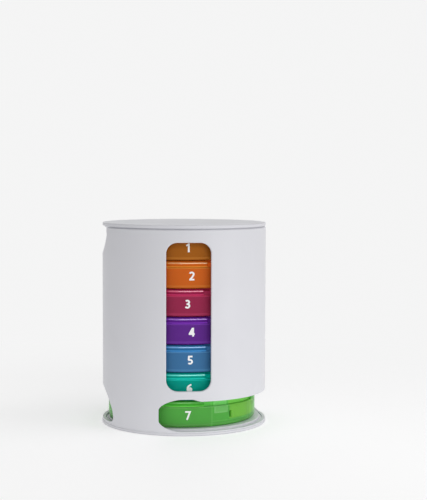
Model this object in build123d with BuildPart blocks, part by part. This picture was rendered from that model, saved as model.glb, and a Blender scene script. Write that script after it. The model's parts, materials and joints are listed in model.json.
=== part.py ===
from build123d import *
import os
from math import cos, radians, sin

# Weekly pill tower: a tube with a window, seven round pill boxes stacked in it,
# a foot disc and a lift-off cap. Millimetres, +Z up, origin on the floor under
# the tube's axis, window facing -Y.

# Tube
tube_diameter = 105.0
tube_wall = 2.1
tube_top_headroom = 2.0
tube_edge_round = 0.5
window_edge_round = 0.6
side_opening_round = 0.2
opening_inner_round = 0.3

# Foot disc
foot_height = 1.8
foot_overhang = 0.4
foot_round = 0.5
sill_rise = 0.8
floor_over_sill = 1.1
register_clearance = 0.2
register_height = 0.4
floor_disc_clearance = 1.5
floor_disc_round = 0.4
foot_floor_thickness = 2.7
underside_recess_inset = 8.0

# Cap
cap_disc_height = 2.0
cap_seam_height = 0.8
cap_seam_depth = 1.1
cap_edge_round = 0.7
plug_clearance = 0.3
plug_wall = 1.4
plug_depth = 4.6
plug_lead_in = 0.5

# Pill boxes
box_count = 7
compartment_count = 4
box_height = 17.0
box_gap = 0.2
box_side_clearance = 2.8
lid_thickness = 1.2
lid_edge_round = 2.0
band_height = 3.9
band_wall = 1.3
band_corner_round = 0.9
band_lip_round = 0.4
shoulder_round = 0.3
band_step = 0.25
lid_gap = 0.15
band_gap = 0.2
neck_gap = 0.3
neck_wall = 1.2
box_wall = 1.4
box_floor = 1.4
box_bottom_round = 2.0
compartment_bottom_round = 3.6
divider_wall = 1.2
hub_radius = 4.3
blank_roof_height = 1.15
pocket_side_margin = 1.5
pocket_rim_margin = 6.5

# Angles about a box's own axis, counted from its number towards +X
blank_middle_angle = 38.0
blank_half_angle = 20.0
roof_half_angle = 28.0
cutout_half_angle = 25.5
cutout_hub_margin = 5.0
cutout_corner_round = 3.0

# Click spring in the blank segment
clip_start_angle = 20.6
clip_end_angle = 32.6
clip_depth = 3.0
clip_height = 6.0
clip_gap = 0.15
clip_slit = 0.8
clip_bend_angle = 2.6
click_radius = 0.9
click_hole_clearance = 0.3
click_below_lid = 0.2
dimple_clearance = 0.4
dimple_depth = 0.35
release_slot_angle = 35.2
release_slot_width = 1.7
release_slot_height = 4.0
release_slot_bottom = 5.0
rib_height = 0.6
rib_depth = 0.5
rib_level = 10.3
rib_start_angle = 41.0
rib_end_angle = 56.0

# Pivot pin
pin_radius = 2.0
pin_lid_clearance = 0.06
pin_hub_clearance = 0.03
pin_head_radius = 4.0
pin_head_height = 0.55
pin_head_clearance = 0.3
pin_head_seat_gap = 0.05
pin_foot_radius = 3.0
pin_foot_height = 0.7
pin_foot_recess = 0.3
pin_edge_round = 0.25

# Window
window_width = 27.4
window_top_margin = 7.8
window_bridge = 4.9
window_corner = 6.8

# Exit slot, push-out opening and cap notch, all square to one axis
exit_angle = 50.0
exit_side_clearance = 1.55
exit_head_clearance = 0.3
exit_corner = 7.2
exit_foot_corner = 6.5
lobe_rise = 1.45
lobe_width = 17.0
lobe_shoulder_round = 3.0
push_side_clearance = 1.0
push_sill_rise = 1.6
push_corner_width = 12.0
push_corner_height = 18.0
push_foot_height = 3.1
push_foot_corner = 2.5
notch_half_width = 44.8
notch_corner_width = 10.8
notch_depth = 16.8

# How the boxes lie in the tube, top box first: turn about the box's own axis
box_turns = [-0.2, 2.5, -0.5, 2.6, 1.4, 0.9, 1.6]
lowest_box_setback_share = 0.67

# Cuts run this far past what they cut, and edges are found this near their cylinder
overrun = 5.0
edge_tolerance = 0.01

# Sizes that follow from those above
tube_radius = tube_diameter / 2
bore_radius = tube_radius - tube_wall
sill_level = foot_height + sill_rise
floor_level = sill_level + floor_over_sill
box_pitch = box_height + box_gap
stack_top = floor_level + box_count * box_pitch - box_gap
tube_top = stack_top + tube_top_headroom
foot_radius = tube_radius + foot_overhang

lid_radius = bore_radius - box_side_clearance
band_inner = lid_radius - band_wall
neck_outer = band_inner - neck_gap
neck_inner = neck_outer - neck_wall
body_radius = lid_radius - band_step
body_inner = body_radius - box_wall
lid_underside = box_height - lid_thickness
neck_top = lid_underside - lid_gap
band_bottom = box_height - band_height
shoulder = band_bottom - band_gap
step_start = shoulder - neck_wall - (body_inner - neck_inner)
roof_bottom = neck_top - blank_roof_height

exit_top = floor_level + box_height + exit_head_clearance
lobe_top = exit_top + lobe_rise
exit_half_width = lid_radius + exit_side_clearance
push_half_width = lid_radius + push_side_clearance
push_sill_level = foot_height + push_sill_rise
push_corner_level = push_sill_level + push_foot_height
window_bottom = lobe_top + window_bridge
window_top = tube_top - window_top_margin

exit_x = sin(radians(exit_angle))
exit_y = -cos(radians(exit_angle))
exit_plane = Plane(origin=(0, 0, 0), x_dir=(-exit_y, exit_x, 0), z_dir=(exit_x, exit_y, 0))
load_plane = Plane(origin=(0, 0, 0), x_dir=(exit_y, -exit_x, 0), z_dir=(-exit_x, -exit_y, 0))
setback = box_side_clearance * lowest_box_setback_share


def around(angle):
    """Turn an angle counted from the number (-Y) into one counted from +X."""
    return angle - 90


def sector(inner, outer, start, end):
    """A flat ring sector between two radii and two angles about the box's axis."""
    with BuildSketch() as flat:
        with BuildLine():
            near = CenterArc((0, 0), inner, around(start), end - start)
            far = CenterArc((0, 0), outer, around(start), end - start)
            Line(near @ 0, far @ 0)
            Line(near @ 1, far @ 1)
        make_face()
    return flat.sketch


def opening_edges(shape, radius):
    """Edges that the last cut made on a cylinder of the tube, clear of its two ends, in a
    steady order so that each run rounds them alike."""
    found = []
    for edge in shape.edges(Select.LAST):
        spots = [edge @ share for share in (0, 0.25, 0.5, 0.75, 1)]
        off_cylinder = max(abs(Vector(spot.X, spot.Y).length - radius) for spot in spots)
        middle = (edge @ 0.5).Z
        if off_cylinder < edge_tolerance and foot_height < middle < tube_top - tube_edge_round:
            found.append(edge)
    return sorted(found, key=lambda edge: ((edge @ 0.5).Z, (edge @ 0.5).X, (edge @ 0.5).Y))


def round_opening(shape, outer_round):
    """Round the edges of the opening just cut, outside and inside the tube."""
    outer_edges = opening_edges(shape, tube_radius)
    inner_edges = opening_edges(shape, bore_radius)
    fillet(outer_edges, outer_round)
    fillet(inner_edges, opening_inner_round)


# Tube with its window, exit slot, push-out opening and cap notch
with BuildPart() as housing_shell:
    with BuildSketch(Plane.XY.offset(foot_height)):
        Circle(tube_radius)
        Circle(bore_radius, mode=Mode.SUBTRACT)
    extrude(amount=tube_top - foot_height)
    chamfer(housing_shell.edges().group_by(Axis.Z)[-1], tube_edge_round)
    with BuildSketch(Plane.XZ) as window_outline:
        with Locations((0, (window_bottom + window_top) / 2)):
            RectangleRounded(window_width, window_top - window_bottom, window_corner)
    extrude(amount=tube_radius + overrun, mode=Mode.SUBTRACT)
    round_opening(housing_shell, window_edge_round)
    with BuildSketch(exit_plane) as exit_outline:
        lobe_middle = exit_half_width - lobe_width / 2
        with Locations((0, sill_level)):
            Rectangle(exit_half_width * 2, lobe_top - exit_corner - sill_level,
                      align=(Align.CENTER, Align.MIN))
            Rectangle(lobe_middle * 2, exit_top - sill_level, align=(Align.CENTER, Align.MIN))
        with Locations((-lobe_middle, sill_level), (lobe_middle, sill_level)):
            RectangleRounded(lobe_width, lobe_top - sill_level, exit_corner,
                             align=(Align.CENTER, Align.MIN))
        fillet(exit_outline.vertices().group_by(Axis.Y)[0], exit_foot_corner)
        shoulders = exit_outline.vertices().filter_by_position(
            Axis.Y, exit_top - edge_tolerance, exit_top + edge_tolerance
        )
        fillet(shoulders, lobe_shoulder_round)
    extrude(amount=tube_radius + overrun, mode=Mode.SUBTRACT)
    round_opening(housing_shell, side_opening_round)
    with BuildSketch(load_plane) as push_outline:
        with BuildLine():
            right = EllipticalCenterArc(
                (push_half_width - push_corner_width, push_corner_level),
                push_corner_width, push_corner_height, 0, arc_size=90,
            )
            left = EllipticalCenterArc(
                (push_corner_width - push_half_width, push_corner_level),
                push_corner_width, push_corner_height, 90, arc_size=90,
            )
            Line(right @ 1, left @ 0)
            FilletPolyline(
                left @ 1, (-push_half_width, push_sill_level),
                (push_half_width, push_sill_level), right @ 0, radius=push_foot_corner,
            )
        make_face()
    extrude(amount=tube_radius + overrun, mode=Mode.SUBTRACT)
    round_opening(housing_shell, side_opening_round)
    with BuildSketch(load_plane) as notch_outline:
        with BuildLine():
            right = EllipticalCenterArc(
                (notch_half_width - notch_corner_width, tube_top),
                notch_corner_width, notch_depth, 0, arc_size=-90,
            )
            left = EllipticalCenterArc(
                (notch_corner_width - notch_half_width, tube_top),
                notch_corner_width, notch_depth, 180, arc_size=90,
            )
            Line(left @ 1, right @ 1)
            Polyline(
                left @ 0, (-notch_half_width, tube_top + overrun),
                (notch_half_width, tube_top + overrun), right @ 0,
            )
        make_face()
    extrude(amount=tube_radius + overrun, mode=Mode.SUBTRACT)
    round_opening(housing_shell, side_opening_round)
housing_shell.part.label = "housing_shell"

# Foot disc: flange, low register that fits the tube, floor that carries the lowest box
with BuildPart() as base_plate:
    with BuildSketch():
        Circle(foot_radius)
    extrude(amount=foot_height)
    fillet(base_plate.edges(), foot_round)
    with BuildSketch(Plane.XY.offset(foot_height)):
        Circle(bore_radius - register_clearance)
    extrude(amount=register_height)
    with BuildSketch(Plane.XY.offset(foot_height)):
        Circle(bore_radius - floor_disc_clearance)
    extrude(amount=floor_level - foot_height)
    fillet(base_plate.edges().group_by(Axis.Z)[-1], floor_disc_round)
    with BuildSketch():
        Circle(foot_radius - underside_recess_inset)
    extrude(amount=floor_level - foot_floor_thickness, mode=Mode.SUBTRACT)
base_plate.part.label = "base_plate"

# Cap: disc, shadow seam under it and plug ring
with BuildPart() as top_cap:
    with BuildSketch(Plane.XY.offset(tube_top + cap_seam_height)):
        Circle(tube_radius)
    extrude(amount=cap_disc_height)
    fillet(top_cap.edges().group_by(Axis.Z)[-1], cap_edge_round)
    with BuildSketch(Plane.XY.offset(tube_top)):
        Circle(tube_radius - cap_seam_depth)
    extrude(amount=cap_seam_height)
    plug_outer = bore_radius - plug_clearance
    with BuildSketch(Plane.XY.offset(tube_top - plug_depth)):
        Circle(plug_outer)
        Circle(plug_outer - plug_wall, mode=Mode.SUBTRACT)
    extrude(amount=plug_depth)
    with BuildSketch(Plane.XY.offset(tube_top)):
        Circle(plug_outer - plug_wall)
    extrude(amount=cap_seam_height, mode=Mode.SUBTRACT)
    chamfer(top_cap.edges().group_by(Axis.Z)[0].sort_by(SortBy.RADIUS)[-1], plug_lead_in)
top_cap.part.label = "top_cap"

# Pill space of one box: everything inside its walls, less dividers, hub and blank roof
divider_angles = [
    blank_middle_angle - blank_half_angle,
    blank_middle_angle + blank_half_angle,
]
compartment_angle = (360 - 2 * blank_half_angle) / compartment_count
for step in range(1, compartment_count):
    divider_angles.append(divider_angles[1] + step * compartment_angle)

with BuildPart() as box_space:
    with BuildSketch(Plane.XZ):
        with BuildLine():
            corner = CenterArc(
                (body_inner - compartment_bottom_round, box_floor + compartment_bottom_round),
                compartment_bottom_round, 270, 90,
            )
            Polyline(
                corner @ 1, (body_inner, step_start),
                (neck_inner, step_start + body_inner - neck_inner),
                (neck_inner, neck_top), (0, neck_top), (0, box_floor), corner @ 0,
            )
        make_face()
    revolve(axis=Axis.Z)
    with BuildSketch(Plane.XY.offset(box_floor)):
        Circle(hub_radius)
        for angle in divider_angles:
            with Locations(Rotation(0, 0, around(angle))):
                Rectangle(body_radius, divider_wall, align=(Align.MIN, Align.CENTER))
    extrude(amount=neck_top - box_floor, mode=Mode.SUBTRACT)
    with BuildSketch(Plane.XY.offset(roof_bottom)):
        add(sector(hub_radius / 2, body_radius,
                   blank_middle_angle - roof_half_angle, blank_middle_angle + roof_half_angle))
    extrude(amount=neck_top - roof_bottom, mode=Mode.SUBTRACT)

# One box, number facing -Y, standing on the floor plane
clip_outer = neck_inner - clip_gap
click_track = clip_outer - clip_depth / 2
click_angle = (clip_start_angle + clip_end_angle) / 2
with BuildPart() as box_body:
    with BuildSketch(Plane.XZ):
        with BuildLine():
            corner = CenterArc(
                (body_radius - box_bottom_round, box_bottom_round), box_bottom_round, 270, 90
            )
            Polyline(
                corner @ 1, (body_radius, shoulder - shoulder_round),
                (body_radius - shoulder_round, shoulder), (neck_outer, shoulder),
                (neck_outer, neck_top), (0, neck_top), (0, 0), corner @ 0,
            )
        make_face()
    revolve(axis=Axis.Z)
    add(box_space.part, mode=Mode.SUBTRACT)
    with BuildSketch():
        Circle(pin_radius + pin_hub_clearance)
    extrude(amount=neck_top, mode=Mode.SUBTRACT)
    with BuildSketch():
        Circle(pin_foot_radius + pin_head_clearance)
    extrude(amount=pin_foot_recess + pin_foot_height, mode=Mode.SUBTRACT)
    pocket_angle = blank_half_angle - pocket_side_margin
    with BuildSketch():
        add(sector(hub_radius * 2, body_radius - pocket_rim_margin,
                   blank_middle_angle - pocket_angle, blank_middle_angle + pocket_angle))
    extrude(amount=box_floor, mode=Mode.SUBTRACT)
    with BuildSketch(Plane.XY.offset(roof_bottom)):
        with PolarLocations(click_track, 1, start_angle=around(click_angle)):
            Circle(click_radius + click_hole_clearance)
    extrude(amount=blank_roof_height, mode=Mode.SUBTRACT)
    with BuildSketch(Plane.XY.offset(release_slot_bottom)):
        with PolarLocations(body_radius, 1, start_angle=around(release_slot_angle)):
            Rectangle(box_wall * 3, release_slot_width)
    extrude(amount=release_slot_height, mode=Mode.SUBTRACT)
    with BuildSketch(Plane.XY.offset(rib_level)):
        add(sector(body_inner - rib_depth, body_inner + box_wall / 2,
                   rib_start_angle, rib_end_angle))
    extrude(amount=rib_height)

# Turning lid with its rim band, pouring cut-out, pin seat and click dimples
with BuildPart() as box_lid:
    with BuildSketch(Plane.XZ):
        with BuildLine():
            corner = CenterArc(
                (lid_radius - lid_edge_round, box_height - lid_edge_round), lid_edge_round, 0, 90
            )
            lip = CenterArc(
                (lid_radius - band_lip_round, band_bottom + band_lip_round), band_lip_round, 270, 90
            )
            Polyline(
                corner @ 1, (0, box_height), (0, lid_underside), (band_inner, lid_underside),
                (band_inner, band_bottom), lip @ 0,
            )
            Line(lip @ 1, corner @ 0)
        make_face()
    revolve(axis=Axis.Z)
    with BuildSketch(Plane.XY.offset(band_bottom)) as cutout:
        add(sector(hub_radius + cutout_hub_margin, lid_radius + overrun,
                   blank_middle_angle - cutout_half_angle, blank_middle_angle + cutout_half_angle))
        fillet(cutout.vertices().sort_by_distance((0, 0))[:2], cutout_corner_round)
    extrude(amount=band_height, mode=Mode.SUBTRACT)
    with BuildSketch():
        Circle(pin_radius + pin_lid_clearance)
    extrude(amount=box_height, mode=Mode.SUBTRACT)
    with BuildSketch(Plane.XY.offset(box_height - pin_head_height - pin_head_seat_gap)):
        Circle(pin_head_radius + pin_head_clearance)
    extrude(amount=pin_head_height + pin_head_seat_gap, mode=Mode.SUBTRACT)
    with BuildSketch(Plane.XY.offset(lid_underside)):
        turn_to_next = compartment_angle / 2 + blank_half_angle
        with PolarLocations(
            click_track, compartment_count, start_angle=around(click_angle - turn_to_next),
            angular_range=-compartment_count * compartment_angle,
        ):
            Circle(click_radius + dimple_clearance)
    extrude(amount=dimple_depth, mode=Mode.SUBTRACT)
    band_ends = box_lid.edges().group_by(Axis.Z)[0].filter_by(GeomType.LINE)
    fillet(band_ends, band_corner_round)

# Click spring: a folded strip with a slit, and a nub that reaches up to the lid
with BuildPart() as box_clip:
    with BuildSketch(Plane.XY.offset(roof_bottom - clip_gap - clip_height)):
        add(sector(clip_outer - clip_depth, clip_outer, clip_start_angle, clip_end_angle))
    extrude(amount=clip_height)
    slit_level = roof_bottom - clip_gap - clip_height / 2
    with BuildSketch(Plane.XY.offset(slit_level)):
        add(sector(clip_outer - clip_depth * 2, clip_outer + clip_depth,
                   clip_start_angle + clip_bend_angle, clip_end_angle + clip_bend_angle))
    extrude(amount=clip_slit, mode=Mode.SUBTRACT)
    with BuildSketch(Plane.XY.offset(roof_bottom - clip_gap)):
        with PolarLocations(click_track, 1, start_angle=around(click_angle)):
            Circle(click_radius)
    extrude(amount=lid_underside - click_below_lid - roof_bottom + clip_gap)

# Pivot pin: head sunk in the lid, shank through lid and hub, spread foot under the floor
with BuildPart() as box_rivet:
    with BuildSketch(Plane.XY.offset(pin_foot_recess)):
        Circle(pin_radius)
    extrude(amount=box_height - pin_foot_recess)
    with BuildSketch(Plane.XY.offset(box_height - pin_head_height)):
        Circle(pin_head_radius)
    extrude(amount=pin_head_height)
    with BuildSketch(Plane.XY.offset(pin_foot_recess)):
        Circle(pin_foot_radius)
    extrude(amount=pin_foot_height)
    fillet(box_rivet.edges().group_by(Axis.Z)[-1], pin_edge_round)

os.makedirs("parts", exist_ok=True)
for fixed in (housing_shell, base_plate, top_cap):
    export_step(fixed.part, f"parts/{fixed.part.label}.step")

# The seven boxes, numbered from the top: each piece copied to its level and turn
for number, turn in enumerate(box_turns, start=1):
    level = floor_level + (box_count - number) * box_pitch
    back = setback if number == box_count else 0
    place = Location((-exit_x * back, -exit_y * back, level), (0, 0, turn))
    for kind, piece in (
        ("body", box_body), ("lid", box_lid), ("clip", box_clip), ("rivet", box_rivet),
    ):
        with BuildPart() as placed:
            with Locations(place):
                add(piece.part)
        placed.part.label = f"tray_{number}_{kind}"
        export_step(placed.part, f"parts/{placed.part.label}.step")
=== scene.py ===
"""Weekly pill tower: a white tube with a window, seven tinted pill boxes with printed
numbers, a foot disc and a lift-off cap. Metres, +Z up, window facing -Y."""

import json
import math

import bmesh
import bpy
from bpy.props import FloatProperty, FloatVectorProperty, IntProperty, PointerProperty
from mathutils import Matrix, Vector
from mathutils.geometry import delaunay_2d_cdt

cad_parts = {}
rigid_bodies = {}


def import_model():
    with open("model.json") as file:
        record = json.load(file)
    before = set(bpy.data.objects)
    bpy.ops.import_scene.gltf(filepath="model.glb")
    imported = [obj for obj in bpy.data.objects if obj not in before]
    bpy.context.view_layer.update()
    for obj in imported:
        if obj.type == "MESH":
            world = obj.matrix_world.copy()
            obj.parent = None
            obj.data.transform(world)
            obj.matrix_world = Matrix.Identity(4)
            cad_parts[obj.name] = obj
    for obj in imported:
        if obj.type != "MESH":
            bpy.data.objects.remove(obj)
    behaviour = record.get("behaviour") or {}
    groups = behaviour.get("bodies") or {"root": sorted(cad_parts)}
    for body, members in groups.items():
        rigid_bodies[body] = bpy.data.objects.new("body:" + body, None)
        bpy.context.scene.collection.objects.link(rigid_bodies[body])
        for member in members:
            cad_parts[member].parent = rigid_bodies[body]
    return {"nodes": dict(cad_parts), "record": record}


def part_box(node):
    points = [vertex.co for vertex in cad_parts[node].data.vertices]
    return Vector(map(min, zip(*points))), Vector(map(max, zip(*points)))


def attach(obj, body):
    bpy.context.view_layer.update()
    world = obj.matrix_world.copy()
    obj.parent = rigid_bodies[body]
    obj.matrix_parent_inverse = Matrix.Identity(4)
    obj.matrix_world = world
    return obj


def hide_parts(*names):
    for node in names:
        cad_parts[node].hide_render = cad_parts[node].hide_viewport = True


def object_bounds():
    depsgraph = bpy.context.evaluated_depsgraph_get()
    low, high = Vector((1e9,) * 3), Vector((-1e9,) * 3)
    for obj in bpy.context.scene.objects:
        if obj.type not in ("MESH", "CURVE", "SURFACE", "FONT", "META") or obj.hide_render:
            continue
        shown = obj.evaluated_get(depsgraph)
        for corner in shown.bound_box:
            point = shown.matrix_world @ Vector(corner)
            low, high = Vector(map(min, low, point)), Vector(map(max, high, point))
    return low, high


bl_info = {
    "name": "Weekly pill tower",
    "version": (1, 0, 0),
    "blender": (4, 5, 0),
    "location": "View3D > Sidebar > Pill tower",
    "description": "Finishes a weekly pill tower: white shell, tinted boxes and printed numbers",
    "category": "Object",
}

for leftover in list(bpy.data.objects):
    bpy.data.objects.remove(leftover)
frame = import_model()
cad_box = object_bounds()

MM = 0.001
LOWEST_BOX = 7
BOX_NUMBERS = range(1, LOWEST_BOX + 1)
WELD_DISTANCE = 0.002 * MM
BLACK = (0.0, 0.0, 0.0)
RECORD = frame["record"]
BODY_OF_NODE = {
    node: body for body, nodes in RECORD["behaviour"]["bodies"].items() for node in nodes
}


# Trees of shader and geometry nodes

class Value:
    """An output socket that can stand in a sum; each sum adds its Math node."""

    def __init__(self, tree, socket):
        self.tree = tree
        self.socket = socket

    def maths(self, operation, first, second=None):
        values = {0: first} if second is None else {0: first, 1: second}
        return self.tree.add("ShaderNodeMath", {"operation": operation}, values)

    def __add__(self, other):
        return self.maths("ADD", self, other)

    __radd__ = __add__

    def __sub__(self, other):
        return self.maths("SUBTRACT", self, other)

    def __rsub__(self, other):
        return self.maths("SUBTRACT", other, self)

    def __mul__(self, other):
        return self.maths("MULTIPLY", self, other)

    __rmul__ = __mul__

    def __truediv__(self, other):
        return self.maths("DIVIDE", self, other)

    def __floordiv__(self, other):
        return self.maths("FLOOR", self / other)

    def sine(self):
        return self.maths("SINE", self)

    def cosine(self):
        return self.maths("COSINE", self)

    def highest(self, other):
        return self.maths("MAXIMUM", self, other)

    def eased(self, low, high):
        """0 at low, 1 at high, eased between them."""
        return self.tree.add(
            "ShaderNodeMapRange",
            {"interpolation_type": "SMOOTHSTEP"},
            {"Value": self, "From Min": low, "From Max": high},
        )

    def within(self, low, high, fade):
        """1 from low to high, 0 elsewhere, with soft edges."""
        above = self.eased(low - fade, low + fade)
        return above * (1 - self.eased(high - fade, high + fade))

    def beside(self, key):
        """Another output of the node that this one comes from."""
        return Value(self.tree, self.tree.pick(self.socket.node.outputs, key))


class Tree:
    """Adds nodes to one shader or geometry tree."""

    def __init__(self, node_tree):
        self.node_tree = node_tree

    @staticmethod
    def pick(sockets, key):
        """A socket by its name or its place, among those that the node's settings show."""
        shown = [socket for socket in sockets if socket.enabled]
        if isinstance(key, int):
            return shown[key]
        return next(socket for socket in shown if socket.name == key)

    def add(self, kind, settings=None, inputs=None, output=0):
        """A node with its settings, then the values or links of its sockets."""
        node = self.node_tree.nodes.new(kind)
        for name, setting in (settings or {}).items():
            setattr(node, name, setting)
        for key, value in (inputs or {}).items():
            socket = self.pick(node.inputs, key)
            if isinstance(value, Value):
                self.node_tree.links.new(value.socket, socket)
            else:
                socket.default_value = value
        return Value(self, self.pick(node.outputs, output)) if node.outputs else None


# Finishes

class Finish(Tree):
    """A material, with the patterns that moulded plastic needs."""

    def __init__(self, name):
        self.material = bpy.data.materials.new(name)
        self.material.use_nodes = True
        super().__init__(self.material.node_tree)
        self.node_tree.nodes.clear()
        self.place = self.add("ShaderNodeTexCoord", output="Object")

    def height(self):
        """A point's height."""
        return self.add("ShaderNodeSeparateXYZ", None, {"Vector": self.place}).beside("Z")

    def bearing(self, centre):
        """A point's bearing round an upright axis, in degrees from the window to the right."""
        away = self.add(
            "ShaderNodeVectorMath", {"operation": "SUBTRACT"}, {0: self.place, 1: centre}
        )
        spot = self.add("ShaderNodeSeparateXYZ", None, {"Vector": away})
        return spot.maths("ARCTAN2", spot, spot.beside("Y") * -1.0) * math.degrees(1.0)

    def noise(self, size, detail=2.0, stretch=(1.0, 1.0, 1.0)):
        """Cloudy variation from 0 to 1 whose patches are about size metres across."""
        place = self.add("ShaderNodeMapping", None, {"Vector": self.place, "Scale": stretch})
        return self.add(
            "ShaderNodeTexNoise", None, {"Vector": place, "Scale": 1.0 / size, "Detail": detail}
        )

    def blend(self, share, first, second):
        """A colour between two others, each a plain colour or a link."""
        first, second = [
            colour if isinstance(colour, Value) else (*colour, 1.0) for colour in (first, second)
        ]
        return self.add(
            "ShaderNodeMix", {"data_type": "RGBA"}, {"Factor": share, "A": first, "B": second}
        )

    def levels(self, bands, fade):
        """The share of the (low, high, share) band that a point's height lies in, else 0."""
        inside = 0.0
        for low, high, share in bands:
            band = self.height().within(low, high, fade) * share
            inside = band.highest(inside)
        return inside

    def bump(self, height, distance, strength, below=None):
        """A relief, on top of another one where that is given."""
        inputs = {"Height": height, "Distance": distance, "Strength": strength}
        if below is not None:
            inputs["Normal"] = below
        return self.add("ShaderNodeBump", None, inputs)

    def close(self, **sockets):
        """Ends the material in a Principled shader with these sockets."""
        inputs = {
            name.replace("_", " ").title().replace("Ior", "IOR"): value
            for name, value in sockets.items()
        }
        surface = self.add("ShaderNodeBsdfPrincipled", None, inputs)
        self.add("ShaderNodeOutputMaterial", None, {"Surface": surface})
        return self.material


def darker(colour, share):
    """A colour with a share of its light taken away."""
    return tuple(part * (1.0 - share) for part in colour)


def deeper(colour, share):
    """A colour with a share of its grey taken out."""
    grey = min(colour) * share
    return tuple(part - grey for part in colour)


def lighter(colour, share):
    """A colour with a share of its own light and a little white added."""
    white = 0.02 * share
    brightest = 0.95
    return tuple(min(part * (1.0 + share) + white, brightest) for part in colour)


def mixed(first, second, share):
    """A colour between two others, worked out at once."""
    return tuple(a * (1.0 - share) + b * share for a, b in zip(first, second))


def white_plastic(name, shell):
    """Satin moulded plastic: faint clouding, fine pores and a slow ripple from the mould."""
    finish = Finish(name)
    clouding = 0.035
    cloud = finish.noise(22 * MM, detail=3.0)
    pores = finish.noise(1.1 * MM)
    ripple = finish.noise(34 * MM, detail=1.0, stretch=(1.0, 1.0, 0.45))
    skin = finish.bump(pores, shell.pore_depth, strength=0.35)
    return finish.close(
        base_color=finish.blend(cloud, shell.colour, darker(shell.colour, clouding)),
        roughness=shell.roughness + 0.08 * cloud,
        specular_ior_level=shell.reflection,
        normal=finish.bump(ripple, 0.09 * MM, strength=0.5, below=skin),
    )


def tinted_colour(finish, tint, boxes, lit):
    """A tint with flow clouds, and painted light: lighter at the lit levels, the edges where light
    gathers in the plastic.
    """
    clouding = 0.05
    cloud = finish.noise(14 * MM, detail=3.0, stretch=(1.0, 1.0, 2.2))
    clouded = finish.blend(cloud, darker(tint, -clouding), darker(tint, clouding))
    # Painted light: the given height bands are lightened in the tint's own colour
    edges = finish.levels(lit, fade=0.25 * MM)
    return finish.blend(edges, clouded, lighter(tint, boxes.painted_edge_light))


def tinted_plastic(finish, colour, boxes, clarity, **sockets):
    """Ends a finish in translucent plastic with hairline rubs, and in the other sockets given."""
    rub = finish.noise(0.9 * MM, detail=4.0, stretch=(0.25, 0.25, 3.0)).eased(0.56, 0.85)
    ripple = finish.noise(9 * MM, detail=1.0)
    return finish.close(
        base_color=colour,
        roughness=boxes.roughness + 0.05 * rub,
        ior=boxes.bend,
        transmission_weight=clarity,
        normal=finish.bump(ripple, 0.05 * MM, strength=0.4),
        **sockets,
    )


def seen_through(finish, wall, number, tint, daylight, boxes, turn):
    """A wall's colour with what shows through it, painted in: painted daylight in the blank
    segment, the pale click spring, and painted light lines at the thick roots of the floor
    and the dividers. Bearings are in degrees from the box's number."""
    low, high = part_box(f"tray_{number}_body")
    spring_foot, spring_top = heights_of(f"tray_{number}_clip")
    floor_top = spring_foot - 4.6 * MM
    root = 0.6 * MM
    blur = 0.25
    bearing = finish.bearing((low + high) / 2) - math.degrees(turn)
    height = finish.height()

    # Painted daylight: the blank segment is blended toward the daylight colour
    blank_start, blank_end = 34, 80
    slow_end = 20
    blank = bearing.eased(blank_start, blank_start + 1)
    blank = blank * (1 - bearing.eased(blank_end - slow_end, blank_end))
    blank = blank * height.eased(floor_top, floor_top + root)
    wall = finish.blend(blank * boxes.painted_daylight_seen, wall, daylight)

    spring_start, spring_end = 20.6, 32.6
    rim = 0.9 * MM
    fainter = 0.35
    spring = bearing.within(spring_start, spring_end, blur)
    spring = spring * height.within(spring_foot, spring_top, 0.15 * MM)
    hollow = bearing.within(spring_start + 1.2, spring_end - 1.0, blur)
    hollow = hollow * height.within(spring_foot + rim, spring_top - rim, 0.3 * MM)
    pale = mixed(lighter(tint, 0.5), boxes.spring, 0.3)
    wall = finish.blend(spring * (boxes.spring_seen - fainter * hollow), wall, pale)

    # Painted light: lighter lines where the floor and the dividers join the wall, in place of what
    # shows through
    floor_start, floor_end = 19, 56
    dividers = (18.6, 57.4, 138, -142, -62)
    roots = height.within(floor_top - root, floor_top, 0.2 * MM)
    roots = roots * bearing.within(floor_start, floor_end, 4 * blur)
    for divider in dividers:
        side = bearing.within(divider - 2 * blur, divider + 2 * blur, blur)
        roots = roots.highest(side)
    return finish.blend(roots * boxes.painted_root_light, wall, lighter(tint, 0.9))


def box_wall(number, tint, daylight, boxes, clarity, turn):
    """One box's wall: painted light makes it lighter at its bottom edge and lip, and a painted
    glow lights its neck.
    """
    foot = heights_of(f"tray_{number}_body")[0]
    lip, crown = heights_of(f"tray_{number}_lid")
    # Painted light: lighter bands at the bottom edge and just under the lip
    painted_foot_light = (foot + 0.8 * MM, foot + 2.2 * MM, 0.22)
    painted_lip_light = (lip - 0.7 * MM, lip, 0.8)
    # Painted glow: from the lip to above the lid's top the wall shines in its tint, lifting the
    # shade there
    neck = (lip + 0.1 * MM, crown + MM, 1.0)
    finish = Finish(f"tint_{number}_wall")
    colour = tinted_colour(finish, tint, boxes, [painted_foot_light, painted_lip_light])
    return tinted_plastic(
        finish,
        seen_through(finish, colour, number, tint, daylight, boxes, turn),
        boxes,
        clarity,
        # Painted glow at the neck: emission in the tint, though no lamp is there
        emission_color=finish.blend(finish.levels([neck], fade=0.15 * MM), BLACK, tint),
        emission_strength=boxes.painted_neck_glow,
    )


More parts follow.
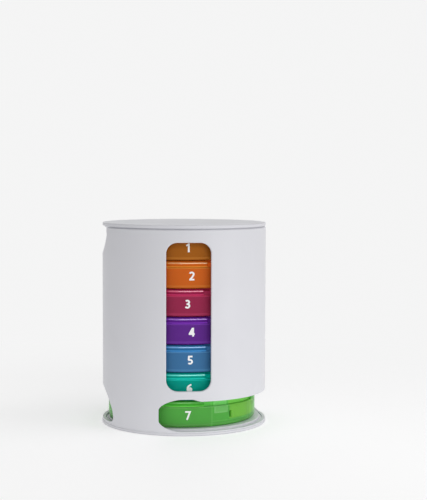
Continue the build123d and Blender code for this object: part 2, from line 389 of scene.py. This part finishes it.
def lid_band(number, tint, boxes, clarity):
    """One lid: deeper than its box, with painted light at its lower edge and a highlight round it,
    painted in its colour and glossy in its coat.
    """
    lip, crown = heights_of(f"tray_{number}_lid")
    # Painted highlight and painted light: the highlight band and the lower edge are lightened in
    # colour; the coat adds real gloss to the highlight band and the top
    highlight = (crown - 1.7 * MM, crown - 0.9 * MM, 1.0)
    painted_lower_edge_light = (lip - MM, lip + 0.7 * MM, 1.0)
    top = (crown - 0.2 * MM, crown + MM, 0.12)
    finish = Finish(f"tint_{number}_band")
    band_tint = deeper(tint, boxes.band_depth)
    return tinted_plastic(
        finish,
        tinted_colour(finish, band_tint, boxes, [highlight, painted_lower_edge_light]),
        boxes,
        clarity,
        coat_weight=finish.levels([highlight, top], fade=0.12 * MM),
        coat_roughness=0.06,
        coat_ior=1.9,
    )


def print_ink(name, colour):
    """Pad-printed ink with thin and thick patches."""
    finish = Finish(name)
    patch = finish.noise(0.5 * MM, detail=3.0)
    return finish.close(
        base_color=finish.blend(patch, colour, darker(colour, 0.04)),
        roughness=0.42 + 0.1 * patch,
        normal=finish.bump(patch, 0.01 * MM, strength=0.4),
    )


def frosted_plastic(name, colour, clarity):
    """Natural plastic with the matt skin of a spark-eroded mould."""
    finish = Finish(name)
    skin = finish.noise(0.35 * MM, detail=4.0)
    cloud = finish.noise(5 * MM)
    return finish.close(
        base_color=finish.blend(cloud, colour, darker(colour, 0.1)),
        roughness=0.4 + 0.15 * skin,
        transmission_weight=clarity,
        normal=finish.bump(skin, 0.02 * MM, strength=0.5),
    )


# Shapes

class ShapeTree(Tree):
    """A Geometry Nodes tree with named inputs that makes one kind of piece."""

    def __init__(self, name, inputs):
        super().__init__(bpy.data.node_groups.new(name, "GeometryNodeTree"))
        interface = self.node_tree.interface
        interface.new_socket("Geometry", in_out="OUTPUT", socket_type="NodeSocketGeometry")
        interface.new_socket("Geometry", in_out="INPUT", socket_type="NodeSocketGeometry")
        for label, kind in inputs.items():
            interface.new_socket(label, in_out="INPUT", socket_type=f"NodeSocket{kind}")
        interface.new_socket("Material", in_out="INPUT", socket_type="NodeSocketMaterial")
        self.entry = self.node_tree.nodes.new("NodeGroupInput")

    def given(self, label):
        return Value(self, self.entry.outputs[label])

    def smooth(self, shape, crease):
        """Shades a mesh smooth except along edges that turn by more than crease."""
        faces = self.add("GeometryNodeSetShadeSmooth", {"domain": "FACE"}, {0: shape})
        turn = self.add("GeometryNodeInputMeshEdgeAngle")
        sharp = self.add(
            "FunctionNodeCompare", {"operation": "GREATER_THAN"}, {"A": turn, "B": crease}
        )
        return self.add(
            "GeometryNodeSetShadeSmooth",
            {"domain": "EDGE"},
            {0: faces, "Selection": sharp, "Shade Smooth": False},
        )

    def close(self, shape):
        """Ends the tree in a real mesh with its material."""
        real = self.add("GeometryNodeRealizeInstances", None, {"Geometry": shape})
        dressed = self.add(
            "GeometryNodeSetMaterial",
            None,
            {"Geometry": real, "Material": self.given("Material")},
        )
        self.add("NodeGroupOutput", None, {"Geometry": dressed})

    def make(self, name, start, values):
        """The tree's shape from a starting mesh, as a plain object with no modifier."""
        draft = add_piece(name + "_draft", start)
        modifier = draft.modifiers.new(name, "NODES")
        modifier.node_group = self.node_tree
        for item in self.node_tree.interface.items_tree:
            if item.in_out == "INPUT" and item.name in values:
                modifier[item.identifier] = values[item.name]
        evaluated = draft.evaluated_get(bpy.context.evaluated_depsgraph_get())
        mesh = bpy.data.meshes.new_from_object(evaluated)
        bpy.data.objects.remove(draft)
        mesh.name = name
        return add_piece(name, mesh)


def add_piece(name, mesh):
    """Puts a mesh into the scene as an object at the origin."""
    piece = bpy.data.objects.new(name, mesh)
    bpy.context.scene.collection.objects.link(piece)
    return piece


def heights_of(node):
    """The heights of a CAD node's underside and top."""
    low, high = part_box(node)
    return low.z, high.z


def finish_node(node, material):
    """Gives a CAD node its material."""
    for slot in frame["nodes"][node].material_slots:
        slot.material = material


def stand_for(piece, node):
    """Lets a piece stand for a CAD node: the node is hidden and the piece rides on its body."""
    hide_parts(node)
    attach(piece, BODY_OF_NODE[node])


def profile_mesh(corners, steps=6):
    """Points through (radius, height, rounding) corners, each rounded by an arc."""
    points = []
    for place, (x, z, rounding) in enumerate(corners):
        here = Vector((x, z))
        if rounding == 0:
            points.append(here)
            continue
        before = (Vector(corners[place - 1][:2]) - here).normalized()
        after = (Vector(corners[(place + 1) % len(corners)][:2]) - here).normalized()
        half = before.angle(after) / 2
        centre = here + (before + after).normalized() * (rounding / math.sin(half))
        first = (here + before * (rounding / math.tan(half)) - centre).normalized()
        last = (here + after * (rounding / math.tan(half)) - centre).normalized()
        turns = [first.slerp(last, step / steps) for step in range(steps + 1)]
        points.extend(centre + turn * rounding for turn in turns)
    mesh = bpy.data.meshes.new("profile")
    mesh.from_pydata([(point.x, 0, point.y) for point in points], [], [])
    return mesh


def turning_tree():
    """Turns a profile about an upright axis into a closed solid."""
    tree = ShapeTree(
        "Turned piece",
        {"Points": "Int", "Segments": "Int", "Centre": "Vector", "Crease": "Float"},
    )
    points = tree.given("Points")
    columns = tree.given("Segments") + 1
    grid = tree.add("GeometryNodeMeshGrid", None, {"Vertices X": columns, "Vertices Y": points})
    index = tree.add("GeometryNodeInputIndex")
    column = (index + 0.5) // points
    sampled = tree.add(
        "GeometryNodeSampleIndex",
        {"data_type": "FLOAT_VECTOR", "domain": "POINT"},
        {
            "Geometry": tree.given("Geometry"),
            "Value": tree.add("GeometryNodeInputPosition"),
            "Index": index - column * points + 0.25,
        },
    )
    spot = tree.add("ShaderNodeSeparateXYZ", None, {"Vector": sampled})
    angle = column * (2 * math.pi) / tree.given("Segments")
    turned = tree.add(
        "ShaderNodeCombineXYZ",
        None,
        {"X": spot * angle.cosine(), "Y": spot * angle.sine(), "Z": spot.beside("Z")},
    )
    placed = tree.add(
        "GeometryNodeSetPosition",
        None,
        {"Geometry": grid, "Position": turned, "Offset": tree.given("Centre")},
    )
    welded = tree.add(
        "GeometryNodeMergeByDistance", None, {"Geometry": placed, "Distance": WELD_DISTANCE}
    )
    tree.close(tree.smooth(welded, tree.given("Crease")))
    return tree


def wrapping_tree():
    """Wraps flat lettering round an upright wall and gives it the thickness of ink."""
    tree = ShapeTree(
        "Wrapped print",
        {"Wall": "Float", "Turn": "Float", "Centre": "Vector", "Raised": "Float", "Sunk": "Float"},
    )
    flat = tree.given("Geometry")
    raised = tree.add(
        "GeometryNodeExtrudeMesh",
        {"mode": "FACES"},
        {
            "Mesh": flat,
            "Offset": (0.0, 0.0, 1.0),
            "Offset Scale": tree.given("Raised") + tree.given("Sunk"),
            "Individual": False,
        },
    )
    back = tree.add("GeometryNodeFlipFaces", None, {"Mesh": flat})
    whole = tree.add("GeometryNodeJoinGeometry", None, {"Geometry": raised})
    tree.node_tree.links.new(back.socket, whole.socket.node.inputs["Geometry"])
    solid = tree.add(
        "GeometryNodeMergeByDistance", None, {"Geometry": whole, "Distance": WELD_DISTANCE}
    )
    position = tree.add("GeometryNodeInputPosition")
    spot = tree.add("ShaderNodeSeparateXYZ", None, {"Vector": position})
    radius = tree.given("Wall") - tree.given("Sunk") + spot.beside("Z")
    angle = spot / tree.given("Wall") + tree.given("Turn")
    wrapped = tree.add(
        "ShaderNodeCombineXYZ",
        None,
        {"X": radius * angle.sine(), "Y": radius * angle.cosine() * -1.0, "Z": spot.beside("Y")},
    )
    placed = tree.add(
        "GeometryNodeSetPosition",
        None,
        {"Geometry": solid, "Position": wrapped, "Offset": tree.given("Centre")},
    )
    tree.close(placed)
    return tree


# Numbers

def arc(x, y, radius, start, sweep, steps=14):
    """Points of an arc, in shares of the number's height; angles in degrees from +X."""
    angles = [math.radians(start + sweep * step / steps) for step in range(steps + 1)]
    return [(x + radius * math.cos(angle), y + radius * math.sin(angle)) for angle in angles]


def number_strokes(number, weight):
    """Centre lines of a bold plain number, in shares of its height, standing on y = 0."""
    top = 1.0 - weight / 2
    foot = weight / 2
    bowl = 0.205
    strokes = {
        1: [[(0.06, 0.0), (0.06, 1.0)], [(-0.19, 0.73), (0.1, 0.93)]],
        2: [
            arc(-0.01, top - bowl, bowl, 158, -190)
            + [(0.03, 0.36), (-0.17, foot + 0.02), (-0.17, foot), (0.27, foot)]
        ],
        3: [
            arc(-0.03, top - 0.18, 0.18, 150, -240),
            arc(-0.03, foot + bowl, bowl, 90, -245),
            [(-0.12, foot + 2 * bowl - 0.01), (0.02, foot + 2 * bowl - 0.01)],
        ],
        4: [
            [(0.13, 0.0), (0.13, 1.0)],
            [(0.1, 0.96), (-0.25, 0.3)],
            [(-0.33, 0.285), (0.3, 0.285)],
        ],
        5: [
            [(0.24, top), (-0.13, top), (-0.16, 0.5)],
            [(-0.2, 0.5)] + arc(-0.02, foot + 0.215, 0.215, 100, -240),
        ],
        6: [
            arc(0.0, foot + bowl, bowl, 90, -360, 28),
            arc(0.2, 0.42, 0.405, 180, -66) + [(0.19, 0.9)],
            [(-bowl, foot + bowl), (-bowl, 0.44)],
        ],
        7: [[(-0.29, top), (0.22, top), (-0.1, 0.0)]],
    }
    return strokes[number]


def ribbon(line, weight):
    """The outline of a stroke: both sides of its centre line, mitred at its corners."""
    narrowest = 0.35
    line = [Vector(point) for point in line]
    runs = [(after - before).normalized() for before, after in zip(line, line[1:])]
    left = []
    right = []
    for place, point in enumerate(line):
        before = runs[max(place - 1, 0)]
        after = runs[min(place, len(runs) - 1)]
        along = (before + after).normalized()
        mitre = 1 / max(along.dot(before), narrowest)
        across = Vector((-along.y, along.x)) * (weight / 2 * mitre)
        left.append(point + across)
        right.append(point - across)
    return right + left[::-1]


def flat_number(number, width, height, weight):
    """A flat mesh of one number, its strokes joined, centred on the origin."""
    points = []
    outlines = []
    for line in number_strokes(number, weight):
        outline = ribbon(line, weight)
        outlines.append(list(range(len(points), len(points) + len(outline))))
        points.extend(outline)
    # Points inside the strokes, so that the faces are small enough to follow the wall
    rows = 12
    for row in range(rows + 1):
        for column in range(-rows // 2, rows // 2 + 1):
            points.append(Vector((column / rows, row / rows)))
    only_inside = 1
    merge_distance = 1e-5
    spots, _, triangles, _, _, _ = delaunay_2d_cdt(
        points, [], outlines, only_inside, merge_distance
    )
    shape = bmesh.new()
    corners = [
        shape.verts.new((spot.x * height * width, (spot.y - 0.5) * height, 0)) for spot in spots
    ]
    for triangle in triangles:
        shape.faces.new([corners[place] for place in triangle])
    loose = [corner for corner in corners if not corner.link_faces]
    bmesh.ops.delete(shape, geom=loose, context="VERTS")
    mesh = bpy.data.meshes.new(f"number_{number}")
    shape.to_mesh(mesh)
    shape.free()
    return mesh


# Settings

def colour_property(name, description, default):
    return FloatVectorProperty(
        name=name, description=description, subtype="COLOR", min=0, max=1, default=default
    )


def length_property(name, description, default):
    return FloatProperty(name=name, description=description, unit="LENGTH", default=default)


def angle_property(name, description, degrees):
    return FloatProperty(
        name=name, description=description, unit="ROTATION", default=math.radians(degrees)
    )


def share_property(name, description, default):
    return FloatProperty(name=name, description=description, min=0, max=1, default=default)


class ShellSettings(bpy.types.PropertyGroup):
    """White tube, foot disc and cap."""

    colour: colour_property("Colour", "White of the tube, foot and cap", (0.75, 0.75, 0.79))
    roughness: share_property("Roughness", "How matt the white plastic is", 0.34)
    reflection: share_property("Reflection", "Mirror light of the white plastic, usually 0.5", 0.3)
    pore_depth: length_property("Pore depth", "Depth of the moulded skin's pores", 0.02 * MM)
    segments: IntProperty(name="Segments", description="Faces round a turned piece", default=192)
    crease: angle_property("Crease", "Edges that turn by more stay sharp", 24)
    tube_wall: length_property("Tube wall", "Wall of the tube", 2.1 * MM)
    cap_disc: length_property("Cap disc", "Thickness of the cap's disc", 2.0 * MM)
    cap_seam: length_property("Cap seam", "Depth of the shadow seam under the cap", 1.4 * MM)
    cap_round: length_property("Cap rounding", "Rounding of the cap's top edge", 0.6 * MM)
    cap_dish: length_property("Cap dish", "How far the cap's middle is sunk", 0.15 * MM)
    plug_gap: length_property("Plug gap", "Play of the cap's plug ring in the tube", 0.3 * MM)
    plug_wall: length_property("Plug wall", "Wall of the cap's plug ring", 1.4 * MM)


class BoxSettings(bpy.types.PropertyGroup):
    """Seven pill boxes."""

    tint_1: colour_property("Tint 1", "Brown amber of the top box", (0.50, 0.160, 0.018))
    tint_2: colour_property("Tint 2", "Orange", (0.78, 0.170, 0.022))
    tint_3: colour_property("Tint 3", "Crimson", (0.42, 0.036, 0.105))
    tint_4: colour_property("Tint 4", "Purple", (0.160, 0.035, 0.34))
    tint_5: colour_property("Tint 5", "Steel blue", (0.070, 0.228, 0.465))
    tint_6: colour_property("Tint 6", "Teal", (0.001, 0.46, 0.36))
    tint_7: colour_property("Tint 7", "Green of the lowest box", (0.18, 0.68, 0.13))
    # Painted daylight: the colour the lowest box's blank segment is blended toward
    painted_daylight_7: colour_property(
        "Daylight 7", "Daylight through the lowest box's blank segment", (0.36, 0.82, 0.125)
    )
    clarity: FloatVectorProperty(
        name="Clarity",
        description="Share of light that passes each box's plastic, top box first",
        size=len(BOX_NUMBERS), min=0, max=1, default=(0.25, 0.25, 0.25, 0.25, 0.25, 0.3, 0.5),
    )
    roughness: share_property("Roughness", "How matt the tinted plastic is", 0.2)
    bend: FloatProperty(
        name="Bend", description="Index of refraction of the tinted walls", default=1.14
    )
    # Painted light: the edge light lightens the boxes' edges in their colour; the light at the
    # neck is a painted glow
    painted_edge_light: FloatProperty(
        name="Edge light", description="How much lighter the boxes' edges are", default=1.2
    )
    band_depth: share_property("Band depth", "How much deeper the lids' tint is", 0.5)
    painted_neck_glow: share_property("Carried light", "Light that the plastic carries to its neck", 0.15)
    # Painted daylight and painted light lines at the roots, blended into the walls' colour
    painted_daylight_seen: share_property("Daylight seen", "How much daylight a blank segment shows", 0.85)
    spring_seen: share_property("Spring seen", "How clearly a wall shows its click spring", 0.85)
    painted_root_light: share_property("Roots seen", "How clearly a wall shows its dividers' roots", 0.35)
    spring: colour_property("Spring", "Natural plastic of the click spring", (0.75, 0.80, 0.68))
    pin: colour_property("Pin", "Natural plastic of the pivot pin", (0.72, 0.72, 0.70))


class NumberSettings(bpy.types.PropertyGroup):
    """Printed numbers on the boxes."""

    ink: colour_property("Ink", "White of the printed numbers", (0.97, 0.97, 0.97))
    height: length_property("Height", "Height of a number", 5.4 * MM)
    width: FloatProperty(
        name="Width", description="How much wider the numbers are than drawn", default=1.08
    )
    weight: share_property("Weight", "Stroke width as a share of the height", 0.19)
    level: length_property("Level", "Middle of a number above its box's underside", 7.9 * MM)
    raised: length_property("Raised", "How far the ink stands out of the wall", 0.04 * MM)
    sunk: length_property("Sunk", "How far the ink reaches into the wall", 0.05 * MM)
    turns: FloatVectorProperty(
        name="Turns",
        description="How far each box is turned in the tube, top box first",
        size=len(BOX_NUMBERS),
        unit="ROTATION",
        default=[math.radians(turn) for turn in (-0.2, 2.5, -0.5, 2.6, 1.4, 0.9, 1.6)],
    )


class StageSettings(bpy.types.PropertyGroup):
    """Floor, lights and camera."""

    floor: colour_property("Floor", "Pale table top", (0.84, 0.84, 0.84))
    backdrop: share_property("Backdrop", "Brightness of the background", 0.91)
    lit: share_property("Lit", "Brightness of the bare table top in the lamps' light", 0.54)
    clearing: share_property("Clearing", "Share of the background in the table top", 0.2)
    fade_start: length_property("Fade start", "Where the table top starts to fade", 120 * MM)
    fade_end: length_property("Fade end", "Where the table top is all background", 400 * MM)
    glow: share_property("Glow", "How much the table top shines on the object", 0.42)
    bounce: FloatProperty(
        name="Bounce", description="Brightness that shines up from near the object", default=1.7
    )
    ambient: share_property("Ambient", "Brightness of the room round the object", 0.36)
    key: share_property("Key", "Light of the soft box at the front right", 0.2)
    side: share_property("Side", "Light of the wide lamp at the right", 0.175)
    low: share_property("Low", "Light of the lamp near the table at the front", 0.1)
    distance: length_property("Distance", "Camera to the tube's axis, level", 820.95 * MM)
    height: length_property("Height", "Camera above the floor", 161.69 * MM)
    bearing: angle_property("Bearing", "Camera's place round the axis, from the window", -3.1)
    swing: angle_property("Swing", "How far the view turns right of the axis", 1.317)
    tilt: angle_property("Tilt", "How far the view points down", 3.562)
    roll: angle_property("Roll", "Turn of the camera about its own view", 0.165)
    focal: length_property("Lens", "Focal length, on a 36 mm wide sensor", 91.74 * MM)


class TowerSettings(bpy.types.PropertyGroup):
    """Everything a user would change about the pill tower."""

    shell: PointerProperty(name="Shell", description="White pieces", type=ShellSettings)
    boxes: PointerProperty(name="Boxes", description="Pill boxes", type=BoxSettings)
    numbers: PointerProperty(name="Numbers", description="Printed numbers", type=NumberSettings)
    stage: PointerProperty(name="Stage", description="Floor, lights, camera", type=StageSettings)


# Pieces

class PILLTOWER_OT_tube(bpy.types.Operator):
    """Finish the tube in satin white plastic"""

    bl_idname = "pilltower.tube"
    bl_label = "White tube"

    def execute(self, context):
        shell = context.scene.pill_tower.shell
        finish_node("housing_shell", white_plastic("tube_white", shell))
        return {"FINISHED"}


class PILLTOWER_OT_cap(bpy.types.Operator):
    """Turn the cap: a slightly dished disc, a shadow seam and a plug ring"""

    bl_idname = "pilltower.cap"
    bl_label = "Lift-off cap"

    def execute(self, context):
        shell = context.scene.pill_tower.shell
        low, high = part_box("top_cap")
        tube_top = heights_of("housing_shell")[1]
        outer = (high.x - low.x) / 2
        seam = outer - shell.cap_seam
        plug = outer - shell.tube_wall - shell.plug_gap
        plug_inside = plug - shell.plug_wall
        disc_foot = high.z - shell.cap_disc
        corners = [
            (0, high.z - shell.cap_dish, 0),
            (outer * 0.9, high.z - shell.cap_dish * 0.5, 0),
            (outer - 2 * shell.cap_round, high.z, 0),
            (outer, high.z, shell.cap_round),
            (outer, disc_foot, 0.25 * MM),
            (seam, disc_foot, 0.15 * MM),
            (seam, tube_top, 0),
            (plug, tube_top, 0),
            (plug, low.z, 0.5 * MM),
            (plug_inside, low.z, 0.3 * MM),
            (plug_inside, disc_foot, 0.5 * MM),
            (0, disc_foot, 0),
        ]
        profile = profile_mesh(corners)
        cap = turning_tree().make("lift_off_cap", profile, {
            "Points": len(profile.vertices),
            "Segments": shell.segments,
            "Crease": shell.crease,
            "Material": white_plastic("cap_white", shell),
        })
        stand_for(cap, "top_cap")
        return {"FINISHED"}


class PILLTOWER_OT_foot(bpy.types.Operator):
    """Finish the foot disc in satin white plastic"""

    bl_idname = "pilltower.foot"
    bl_label = "Foot disc"

    def execute(self, context):
        shell = context.scene.pill_tower.shell
        finish_node("base_plate", white_plastic("foot_white", shell))
        return {"FINISHED"}


class PILLTOWER_OT_boxes(bpy.types.Operator):
    """Finish the seven boxes and their turning lids, each in its own tint with painted light"""

    bl_idname = "pilltower.boxes"
    bl_label = "Tinted boxes"

    def execute(self, context):
        boxes = context.scene.pill_tower.boxes
        turns = context.scene.pill_tower.numbers.turns
        for number, clarity, turn in zip(BOX_NUMBERS, boxes.clarity, turns):
            tint = getattr(boxes, f"tint_{number}")
            # Painted daylight: the lowest box takes its daylight colour, the others a lighter tint
            daylight = boxes.painted_daylight_7 if number == LOWEST_BOX else lighter(tint, 0.3)
            wall = box_wall(number, tint, daylight, boxes, clarity, turn)
            finish_node(f"tray_{number}_body", wall)
            finish_node(f"tray_{number}_lid", lid_band(number, tint, boxes, clarity))
        return {"FINISHED"}


class PILLTOWER_OT_clicks(bpy.types.Operator):
    """Finish the click spring and pivot pin of each box in natural plastic"""

    bl_idname = "pilltower.clicks"
    bl_label = "Click springs and pins"

    def execute(self, context):
        boxes = context.scene.pill_tower.boxes
        spring = frosted_plastic("spring_natural", boxes.spring, clarity=0.2)
        pin = frosted_plastic("pin_natural", boxes.pin, clarity=0.0)
        for number in BOX_NUMBERS:
            finish_node(f"tray_{number}_clip", spring)
            finish_node(f"tray_{number}_rivet", pin)
        return {"FINISHED"}


class PILLTOWER_OT_numbers(bpy.types.Operator):
    """Print the numbers 1 to 7 on the boxes' walls"""

    bl_idname = "pilltower.numbers"
    bl_label = "Printed numbers"

    def execute(self, context):
        numbers = context.scene.pill_tower.numbers
        ink = print_ink("number_ink", numbers.ink)
        tree = wrapping_tree()
        for number, turn in zip(BOX_NUMBERS, numbers.turns):
            low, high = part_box(f"tray_{number}_body")
            middle = (low + high) / 2
            piece = tree.make(
                f"printed_number_{number}",
                flat_number(number, numbers.width, numbers.height, numbers.weight),
                {
                    "Wall": (high.x - low.x) / 2,
                    "Turn": turn,
                    "Centre": (middle.x, middle.y, low.z + numbers.level),
                    "Raised": numbers.raised,
                    "Sunk": numbers.sunk,
                    "Material": ink,
                },
            )
            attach(piece, BODY_OF_NODE[f"tray_{number}_body"])
        return {"FINISHED"}


# Stage

def aim(thing, place, forward, roll=0.0):
    """Puts a lamp or camera at a place, looking forward, with its top up."""
    right = forward.cross(Vector((0, 0, 1))).normalized()
    up = right.cross(forward)
    level = right * math.cos(roll) + up * math.sin(roll)
    upright = up * math.cos(roll) - right * math.sin(roll)
    turn = Matrix((level, upright, -forward)).transposed()
    thing.matrix_world = Matrix.Translation(place) @ turn.to_4x4()


def add_lamp(name, target, bearing, elevation, distance, width, height, light):
    """A soft lamp at a bearing and elevation in degrees. Light is what it adds to a white
    surface that faces it at the target."""
    lamp = bpy.data.lights.new(name, "AREA")
    lamp.shape = "RECTANGLE"
    lamp.size = width
    lamp.size_y = height
    lamp.energy = light * math.pi**2 * distance**2
    thing = add_piece(name, lamp)
    side = math.radians(bearing)
    lift = math.radians(elevation)
    away = Vector((
        math.sin(side) * math.cos(lift), -math.cos(side) * math.cos(lift), math.sin(lift),
    ))
    aim(thing, target + away * distance, -away)
    thing.visible_camera = False


def background_share(tree):
    """1 for rays that should see the plain background: from the camera, mirrors and glass."""
    path = tree.add("ShaderNodeLightPath", output="Is Camera Ray")
    glossy = path.beside("Is Glossy Ray")
    through = path.beside("Is Transmission Ray")
    return path.highest(glossy).highest(through)


def set_world(stage):
    """Even room light, with the plain background where the camera looks past the object."""
    world = bpy.data.worlds.new("room")
    world.use_nodes = True
    tree = Tree(world.node_tree)
    tree.node_tree.nodes.clear()
    seen = background_share(tree)
    strength = seen * (stage.backdrop - stage.ambient) + stage.ambient
    white = (1.0, 1.0, 1.0, 1.0)
    light = tree.add("ShaderNodeBackground", None, {"Color": white, "Strength": strength})
    tree.add("ShaderNodeOutputWorld", None, {"Surface": light})
    bpy.context.scene.world = world


def floor_finish(stage):
    """Matt pale table top that fades into the background away from the object, and shines
    some light up at it, but none from under the foot."""
    foot_rim = cad_box[1].x
    finish = Finish("table_top")
    away = finish.add("ShaderNodeVectorMath", {"operation": "LENGTH"}, {0: finish.place}, "Value")
    grain = finish.noise(3 * MM, detail=3.0)
    table = finish.add(
        "ShaderNodeBsdfPrincipled",
        None,
        {
            "Base Color": finish.blend(grain, stage.floor, darker(stage.floor, 0.01)),
            "Roughness": 0.6,
        },
    )
    distant = away.eased(stage.fade_start, stage.fade_end)
    far = distant * (1 - stage.clearing) + stage.clearing
    made_up = (stage.backdrop - (1 - far) * stage.lit) / far
    bounced = distant * (stage.backdrop - stage.bounce) + stage.bounce
    bounced = bounced * away.eased(foot_rim - 0.9 * MM, foot_rim + 1.6 * MM)
    seen = background_share(finish)
    share = seen * (far - stage.glow) + stage.glow
    strength = seen * (made_up - bounced) + bounced
    plain = finish.add("ShaderNodeEmission", None, {"Strength": strength})
    surface = finish.add("ShaderNodeMixShader", None, {0: share, 1: table, 2: plain})
    finish.add("ShaderNodeOutputMaterial", None, {"Surface": surface})
    return finish.material


class PILLTOWER_OT_stage(bpy.types.Operator):
    """Set up the pale table top, soft studio lamps and the camera"""

    bl_idname = "pilltower.stage"
    bl_label = "Studio stage"

    def execute(self, context):
        stage = context.scene.pill_tower.stage
        low, high = cad_box
        middle = (low + high) / 2
        half = 4.0
        spots = [(-half, -half, 0), (half, -half, 0), (half, half, 0), (-half, half, 0)]
        table = bpy.data.meshes.new("table_top")
        table.from_pydata(spots, [], [(0, 1, 2, 3)])
        table.materials.append(floor_finish(stage))
        add_piece("table_top", table)
        add_lamp(
            "key_lamp", middle, bearing=12, elevation=31, distance=2.4,
            width=1.7, height=0.8, light=stage.key,
        )
        add_lamp(
            "side_lamp", middle, bearing=74, elevation=56, distance=2.6,
            width=1.6, height=1.2, light=stage.side,
        )
        add_lamp(
            "low_lamp", Vector((0, 0, 20 * MM)), bearing=52, elevation=5, distance=0.4,
            width=0.24, height=0.05, light=stage.low,
        )
        set_world(stage)
        context.scene.view_settings.view_transform = "Standard"
        self.place_camera(context, stage)
        return {"FINISHED"}

    @staticmethod
    def place_camera(context, stage):
        """Stands the camera at its bearing, swung right of the axis and tilted down."""
        lens = bpy.data.cameras.new("camera")
        lens.lens = stage.focal / MM
        lens.sensor_width = 36
        camera = add_piece("camera", lens)
        inward = Vector((-math.sin(stage.bearing), math.cos(stage.bearing), 0))
        right = Vector((inward.y, -inward.x, 0))
        level = inward * math.cos(stage.swing) + right * math.sin(stage.swing)
        forward = level * math.cos(stage.tilt) - Vector((0, 0, math.sin(stage.tilt)))
        place = inward * -stage.distance + Vector((0, 0, stage.height))
        aim(camera, place, forward, stage.roll)
        context.scene.camera = camera


class PILLTOWER_PT_panel(bpy.types.Panel):
    """Sizes, colours and building steps of the pill tower"""

    bl_idname = "PILLTOWER_PT_panel"
    bl_label = "Pill tower"
    bl_space_type = "VIEW_3D"
    bl_region_type = "UI"
    bl_category = "Pill tower"

    def draw(self, context):
        tower = context.scene.pill_tower
        for title, settings in (
            ("Shell", tower.shell), ("Boxes", tower.boxes),
            ("Numbers", tower.numbers), ("Stage", tower.stage),
        ):
            box = self.layout.box()
            box.label(text=title)
            for name in settings.__annotations__:
                box.prop(settings, name)
        for operator in OPERATORS:
            self.layout.operator(operator.bl_idname)


SETTINGS = (ShellSettings, BoxSettings, NumberSettings, StageSettings, TowerSettings)
OPERATORS = (
    PILLTOWER_OT_tube, PILLTOWER_OT_cap, PILLTOWER_OT_foot, PILLTOWER_OT_boxes,
    PILLTOWER_OT_clicks, PILLTOWER_OT_numbers, PILLTOWER_OT_stage,
)


def register():
    for kind in (*SETTINGS, *OPERATORS, PILLTOWER_PT_panel):
        bpy.utils.register_class(kind)
    bpy.types.Scene.pill_tower = PointerProperty(type=TowerSettings)


def unregister():
    del bpy.types.Scene.pill_tower
    for kind in (PILLTOWER_PT_panel, *reversed(OPERATORS), *reversed(SETTINGS)):
        bpy.utils.unregister_class(kind)


def main():
    """Makes every piece and the stage."""
    register()
    for operator in OPERATORS:
        group, step = operator.bl_idname.split(".")
        getattr(getattr(bpy.ops, group), step)()


if __name__ == "__main__":
    main()
